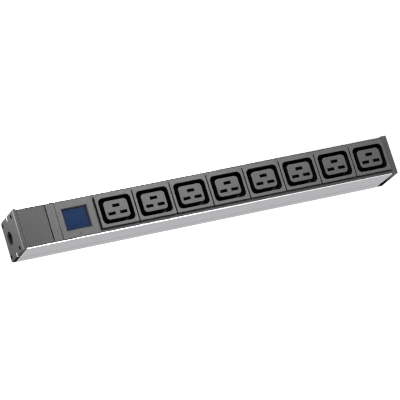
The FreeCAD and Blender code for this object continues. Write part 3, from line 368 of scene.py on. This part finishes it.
def soft_rubber():
    paint = Paint("soft_rubber", **{"IOR": 1.45, "Specular IOR Level": 0.2})
    fine = paint.noise(0.3 * MM, detail=3.0)
    dust = paint.noise(2.5 * MM, detail=3.0, rough=0.7)
    paint.set("Base Color", paint.blend(dust, (0.008, 0.008, 0.009), (0.02, 0.02, 0.021)))
    paint.set("Roughness", 0.7 + (fine - 0.5) * 0.15)
    paint.relief(fine, 0.01 * MM)
    return paint


def clear_window():
    paint = Paint("clear_window", IOR=1.2)
    paint.set("Base Color", (0.02, 0.025, 0.03))
    haze = paint.noise(6 * MM, detail=3.0)
    paint.set("Alpha", 0.1 + haze * 0.05)
    paint.set("Roughness", 0.12 + haze * 0.05)
    paint.set("Specular IOR Level", 0.15)
    return paint


def lit_display():
    """Backlit blank display: brighter towards its middle, with a fine grid of dots."""
    low, high = corners("lcd_panel")
    middle, half = (low + high) / 2, (high - low) / 2
    paint = Paint("lit_display", IOR=1.2)
    across = abs(paint.x - middle[0]) / half[0]
    along = abs(paint.y - middle[1]) / half[1]
    edge = (across | along).above(0.45, 1.0)
    cloud = paint.noise(9 * MM, detail=2.0)
    pitch = 0.42 * MM
    dots = [abs((axis / pitch).part() - 0.5).above(0.36, 0.5) for axis in (paint.x, paint.y)]
    grid = dots[0] | dots[1]
    glow = paint.blend(edge * 0.8 + cloud * 0.2, (0.018, 0.06, 0.2), (0.03, 0.045, 0.11))
    glow = paint.blend(grid * 0.25, glow, (0.01, 0.02, 0.06))
    paint.set("Base Color", paint.blend(edge, (0.007, 0.03, 0.1), (0.012, 0.026, 0.065)))
    paint.set("Emission Color", glow)
    paint.set("Emission Strength", 0.2)
    paint.set("Roughness", 0.3 + cloud * 0.1)
    paint.set("Specular IOR Level", 0.15)
    return paint


def insulation(name, colour):
    paint = Paint(name, IOR=1.48)
    streak = paint.noise(0.5 * MM, detail=2.0, along=(40, 1, 1))
    paint.set("Base Color", paint.blend(streak, shade(colour, 0.85), shade(colour, 1.12)))
    paint.set("Roughness", 0.35 + (streak - 0.5) * 0.2)
    paint.relief(streak, 0.01 * MM)
    return paint


def circuit_board():
    paint = Paint("circuit_board", IOR=1.5)
    weave = paint.noise(0.25 * MM, detail=2.0)
    traces = abs(paint.noise(3 * MM, detail=1.0) - 0.5).above(0.0, 0.03)
    paint.set("Base Color", paint.blend(traces, (0.05, 0.22, 0.1), (0.015, 0.11, 0.05)))
    paint.set("Roughness", 0.3 + weave * 0.2)
    paint.relief(weave, 0.01 * MM)
    return paint


FINISHES = {
    "anodised_aluminium": anodised("satin_anodised", (0.58, 0.58, 0.6)),
    "cap_plastic": cap_moulding(),
    "black_screw": black_steel(),
    "grommet_rubber": soft_rubber(),
    "catch_plastic": moulded("white_catch_plastic", (0.76, 0.76, 0.75), rough=0.4),
    "module_plastic": moulded("module_plastic", (0.1, 0.1, 0.101)),
    "blank_cover": moulded("blank_cover_plastic", (0.058, 0.058, 0.059)),
    "bezel_plastic": moulded("bezel_plastic", (0.107, 0.105, 0.106)),
    "window_clear": clear_window(),
    "lcd_blue": lit_display(),
    "holder_plastic": moulded("holder_plastic", (0.012, 0.012, 0.013)),
    "button_plastic": moulded("button_plastic", (0.012, 0.012, 0.013)),
    "board_green": circuit_board(),
    "steel_screw": metal("zinc_plated", (0.62, 0.62, 0.6)),
    "potting_black": moulded("potting_black", (0.015, 0.015, 0.02)),
    "capacitor_sleeve": insulation("capacitor_sleeve", (0.03, 0.05, 0.16)),
    "lead_insulation": insulation("red_insulation", (0.5, 0.03, 0.02)),
    "block_plastic": moulded("natural_polyamide", (0.6, 0.57, 0.5)),
    "brass_parts": metal("plain_brass", (0.78, 0.57, 0.26)),
    "wire_brown": insulation("brown_insulation", (0.16, 0.07, 0.03)),
    "wire_blue": insulation("blue_insulation", (0.03, 0.12, 0.45)),
    "wire_green": insulation("green_insulation", (0.16, 0.42, 0.06)),
    "copper": metal("bare_copper", (0.8, 0.4, 0.25)),
    "tinned_copper": metal("tin_plate", (0.66, 0.65, 0.62), rough=0.35),
    # Painted shade: the contacts get a dark colour because they sit in shade deep in the slots.
    "socket_contacts": metal("dull_contact_alloy", (0.09, 0.085, 0.075), rough=0.5),
    "tray_plastic": moulded("tray_plastic", (0.45, 0.45, 0.43)),
    "insert_plastic": socket_finish("socket_insert_finish", FACE_GREY),
    # Painted highlight: the frame is the same plastic as the insert, made 22% lighter because its rims
    # catch the light.
    "socket_frame": socket_finish("socket_frame_finish", shade(FACE_GREY, 1.22)),
}


def finish_parts():
    """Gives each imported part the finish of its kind, or else the one of its material slot."""
    for part in frame["record"]["subparts"]:
        kind = part["node"].rstrip("_12345678")
        paint = FINISHES[kind if kind in FINISHES else part["material_slot"]]
        mesh = frame["nodes"][part["node"]].data
        mesh.materials.clear()
        mesh.materials.append(paint.material)


finish_parts()


# ---- Cap screws ----------------------------------------------------------------------------

class Shape(Tree):
    """Geometry nodes for one kind of piece, with named sizes, that stands at every spot it is given."""

    def __init__(self, name, sizes):
        self.tree = bpy.data.node_groups.new(name, "GeometryNodeTree")
        sockets = self.tree.interface
        sockets.new_socket("Geometry", in_out="INPUT", socket_type="NodeSocketGeometry")
        sockets.new_socket("Geometry", in_out="OUTPUT", socket_type="NodeSocketGeometry")
        self.keys = {}
        for label, value in sizes.items():
            socket = sockets.new_socket(label, in_out="INPUT", socket_type="NodeSocketFloat")
            socket.default_value = value
            self.keys[label] = socket.identifier
        self.entry = self.tree.nodes.new("NodeGroupInput")
        self.size = {label: Field(self, self.entry.outputs[label]) for label in sizes}

    def vector(self, x, y, z):
        return self.node("ShaderNodeCombineXYZ", {}, {"X": x, "Y": y, "Z": z}).outputs[0]

    def moved(self, solid, shift=(0, 0, 0), turn=(0, 0, 0)):
        values = {"Geometry": solid, "Translation": shift, "Rotation": turn}
        return self.node("GeometryNodeTransform", {}, values).outputs[0]

    def drum(self, foot, height, low_radius, high_radius, sides=40):
        """A cylinder or a frustum standing on z = foot."""
        cone = self.node("GeometryNodeMeshCone", {}, {"Vertices": sides, "Radius Bottom": low_radius,
                                                      "Radius Top": high_radius, "Depth": height})
        return self.moved(cone.outputs[0], self.vector(0.0, 0.0, foot))

    def block(self, x, y, z, middle):
        """A box about the z axis, with its middle at that height."""
        cube = self.node("GeometryNodeMeshCube", {}, {"Size": self.vector(x, y, z)})
        return self.moved(cube.outputs[0], self.vector(0.0, 0.0, middle))

    def repeated(self, solid, spots, rotation=(0, 0, 0)):
        values = {"Points": spots, "Instance": solid, "Rotation": rotation}
        copies = self.node("GeometryNodeInstanceOnPoints", {}, values)
        return self.node("GeometryNodeRealizeInstances", {}, {"Geometry": copies.outputs[0]}).outputs[0]

    def fused(self, *solids):
        return self.node("GeometryNodeMeshBoolean", {"operation": "UNION", "solver": "EXACT"},
                         {"Mesh 2": list(solids), "Self Intersection": True}).outputs[0]

    def cut(self, solid, *tools):
        return self.node("GeometryNodeMeshBoolean", {"operation": "DIFFERENCE", "solver": "EXACT"},
                         {"Mesh 1": solid, "Mesh 2": list(tools), "Self Intersection": True}).outputs[0]

    def end(self, solid, paint):
        flat = self.node("GeometryNodeSetMaterial", {}, {"Geometry": solid, "Material": paint.material})
        self.tree.links.new(flat.outputs[0], self.tree.nodes.new("NodeGroupOutput").inputs[0])

    def made(self, name, spots, sizes):
        """A plain mesh object of the shape at these spots, with some sizes of its own."""
        mesh = bpy.data.meshes.new(name)
        mesh.from_pydata(spots, [], [])
        host = bpy.data.objects.new(f"{name}_spots", mesh)
        bpy.context.scene.collection.objects.link(host)
        modifier = host.modifiers.new("shape", "NODES")
        modifier.node_group = self.tree
        for label, value in sizes.items():
            modifier[self.keys[label]] = value
        solid = bpy.data.meshes.new_from_object(host.evaluated_get(bpy.context.evaluated_depsgraph_get()))
        bpy.data.objects.remove(host)
        solid.shade_smooth()
        solid.set_sharp_from_angle(angle=math.radians(35))
        piece = bpy.data.objects.new(name, solid)
        bpy.context.scene.collection.objects.link(piece)
        return piece


def cross_screw(name, outward):
    """Pan-head screw with a cross drive and a ribbed shank, looking along outward * X from its seat."""
    shape = Shape(name, {"Head Radius": HEAD_RADIUS, "Head Height": HEAD_HEIGHT, "Drive Width": 2.3 * MM,
                         "Drive Slot": 0.55 * MM, "Drive Depth": 0.7 * MM, "Shank Radius": 0.8 * MM,
                         "Shank Length": 10 * MM, "Thread Pitch": 0.8 * MM})
    head, height, drive, slot, depth, shank, length, pitch = shape.size.values()
    rim = shape.drum(0.0, height * 0.64, head, head)
    crown = shape.drum(height * 0.64, height * 0.36, head, head * 0.76)
    core = shape.drum(-length, length + height * 0.3, shank, shank, 20)
    rib = shape.fused(shape.drum(0.0, pitch * 0.3, shank * 0.9, shank * 1.22, 20),
                      shape.drum(pitch * 0.3, pitch * 0.3, shank * 1.22, shank * 0.9, 20))
    line = shape.node("GeometryNodeMeshLine", {"mode": "OFFSET"},
                      {"Count": (length / pitch - 1).whole(), "Offset": shape.vector(0.0, 0.0, pitch),
                       "Start Location": shape.vector(0.0, 0.0, length * -0.98)})
    body = shape.fused(rim, crown, core, shape.repeated(rib, line.outputs[0]))
    foot = height - depth
    arms = [shape.block(*sides, height, foot + height * 0.5) for sides in ((drive, slot), (slot, drive))]
    screw = shape.cut(body, *arms, shape.drum(foot - 0.3 * MM, height, slot * 0.5, slot * 1.2, 16))
    chance = shape.node("FunctionNodeRandomValue", {"data_type": "FLOAT"}, {"Seed": 7})
    low, high = (socket for socket in chance.inputs if socket.enabled and socket.name in ("Min", "Max"))
    low.default_value, high.default_value = 0.0, math.pi / 2
    turn = next(socket for socket in chance.outputs if socket.enabled)
    facing = shape.moved(screw, turn=(0, outward * math.pi / 2, 0))
    placed = shape.repeated(facing, shape.entry.outputs[0], shape.vector(turn, 0.0, 0.0))
    shape.end(placed, FINISHES["black_screw"])
    return shape


def cap_screws(name, outward):
    """Stands in for a node of four sunk cap screws, whose heads look along outward * X."""
    low, high = corners(name)
    seat = high[0] - HEAD_DEPTH if outward > 0 else low[0] + HEAD_DEPTH
    spots = [(seat, y, z) for y in (low[1] + HEAD_RADIUS, high[1] - HEAD_RADIUS)
             for z in (low[2] + HEAD_RADIUS, high[2] - HEAD_RADIUS)]
    shape = cross_screw(f"cross_{name}", outward)
    screws = shape.made(f"cross_{name}", spots, {"Shank Length": high[0] - low[0] - HEAD_DEPTH})
    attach(screws, "strip")
    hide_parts(name)


cap_screws("end_cap_screws_left", -1)
cap_screws("end_cap_screws_right", 1)


# ---- Studio --------------------------------------------------------------------------------

# Brightness: what the camera sees of the ground, and what the world and the floor give the strip.
WHITE, WORLD, FLOOR = 1.2, 0.24, 0.78

LAMPS = (
    # name, spot, target, side in metres, watts
    ("key", (-0.85, 0.65, 0.75), (-0.05, 0.0, 0.0), 0.8, 2.0),
    ("near", (0.02, 0.2, 0.39), (0.02, 0.0, 0.0), 0.22, 1.68),
    ("top", (1.0, 0.57, 2.25), (0.0, 0.0, 0.0), 1.3, 7.0),
    ("inlet", (-0.3, 0.05, 0.05), (-0.22, 0.0, 0.025), 0.04, 0.13),
)


def aim(thing, spot, target, roll=0.0):
    """Puts a camera or light at a spot, looking at a target, turned by roll about its view."""
    view = (Vector(target) - Vector(spot)).normalized()
    turn = view.to_track_quat("-Z", "Y").to_matrix().to_4x4()
    thing.matrix_world = Matrix.Translation(spot) @ turn @ Matrix.Rotation(roll, 4, "Z")


def make_camera():
    """Long lens, high over the inlet end, rolled so that the strip runs up to the right."""
    heading, height, roll = math.radians(29.785), math.radians(62.905), math.radians(45.77)
    distance, target = 2.5328, Vector((-0.0156, -0.0076, channel_top))
    level = math.cos(height)
    view = Vector((level * math.cos(heading), level * math.sin(heading), -math.sin(height)))
    camera = bpy.data.objects.new("camera", bpy.data.cameras.new("camera"))
    camera.data.lens, camera.data.sensor_width = 217.28, 36.0
    camera.data.clip_end = 20.0
    bpy.context.scene.collection.objects.link(camera)
    aim(camera, target - view * distance, target, roll)
    bpy.context.scene.camera = camera


def make_lamps():
    """A big soft key from behind the inlet end, a top light, and two small lamps close to the strip."""
    for name, spot, target, side, watts in LAMPS:
        light = bpy.data.lights.new(name, "AREA")
        light.size, light.energy = side, watts
        lamp = bpy.data.objects.new(name, light)
        lamp.visible_camera = False
        bpy.context.scene.collection.objects.link(lamp)
        aim(lamp, spot, target)


def make_world():
    """White to the camera, and a much dimmer light on the strip."""
    world = bpy.data.worlds.new("studio")
    bpy.context.scene.world = world
    world.use_nodes = True
    sky = world.node_tree.nodes["Background"]
    sky.inputs["Color"].default_value = (1.0, 1.0, 1.0, 1.0)
    tree = Tree(world.node_tree)
    seen = tree.node("ShaderNodeLightPath", {}, {}).outputs["Is Camera Ray"]
    strength = tree.node("ShaderNodeMix", {"data_type": "FLOAT"}, {0: seen, 2: WORLD, 3: WHITE})
    tree.feed(sky.inputs["Strength"], strength.outputs[0])


def make_floor():
    """White floor that shows no shadow, and lights the strip less from under the inlet end."""
    reach, foot = 6.0, -0.5 * MM
    mesh = bpy.data.meshes.new("floor")
    mesh.from_pydata([(x * reach, y * reach, foot) for x, y in ((-1, -1), (1, -1), (1, 1), (-1, 1))], [],
                     [(0, 1, 2, 3)])
    floor = bpy.data.objects.new("floor", mesh)
    bpy.context.scene.collection.objects.link(floor)
    paint = Paint("studio_floor", **{"Base Color": (0.0, 0.0, 0.0), "Specular IOR Level": 0.0,
                                     "Emission Strength": 1.0})
    shaded = (-paint.x).above(0.21, 0.23) & (-paint.x).below(0.24, 0.32) & abs(paint.y).below(0.03, 0.07)
    bounced = paint.blend(shaded, (FLOOR,) * 3, (FLOOR * 0.25,) * 3)
    seen = paint.node("ShaderNodeLightPath", {}, {}).outputs["Is Camera Ray"]
    paint.set("Emission Color", paint.blend(seen, bounced, (WHITE,) * 3))
    mesh.materials.append(paint.material)


make_camera()
make_lamps()
make_world()
make_floor()
bpy.context.scene.view_settings.view_transform = "Standard"
bpy.context.scene.cycles.filter_width = 1.3
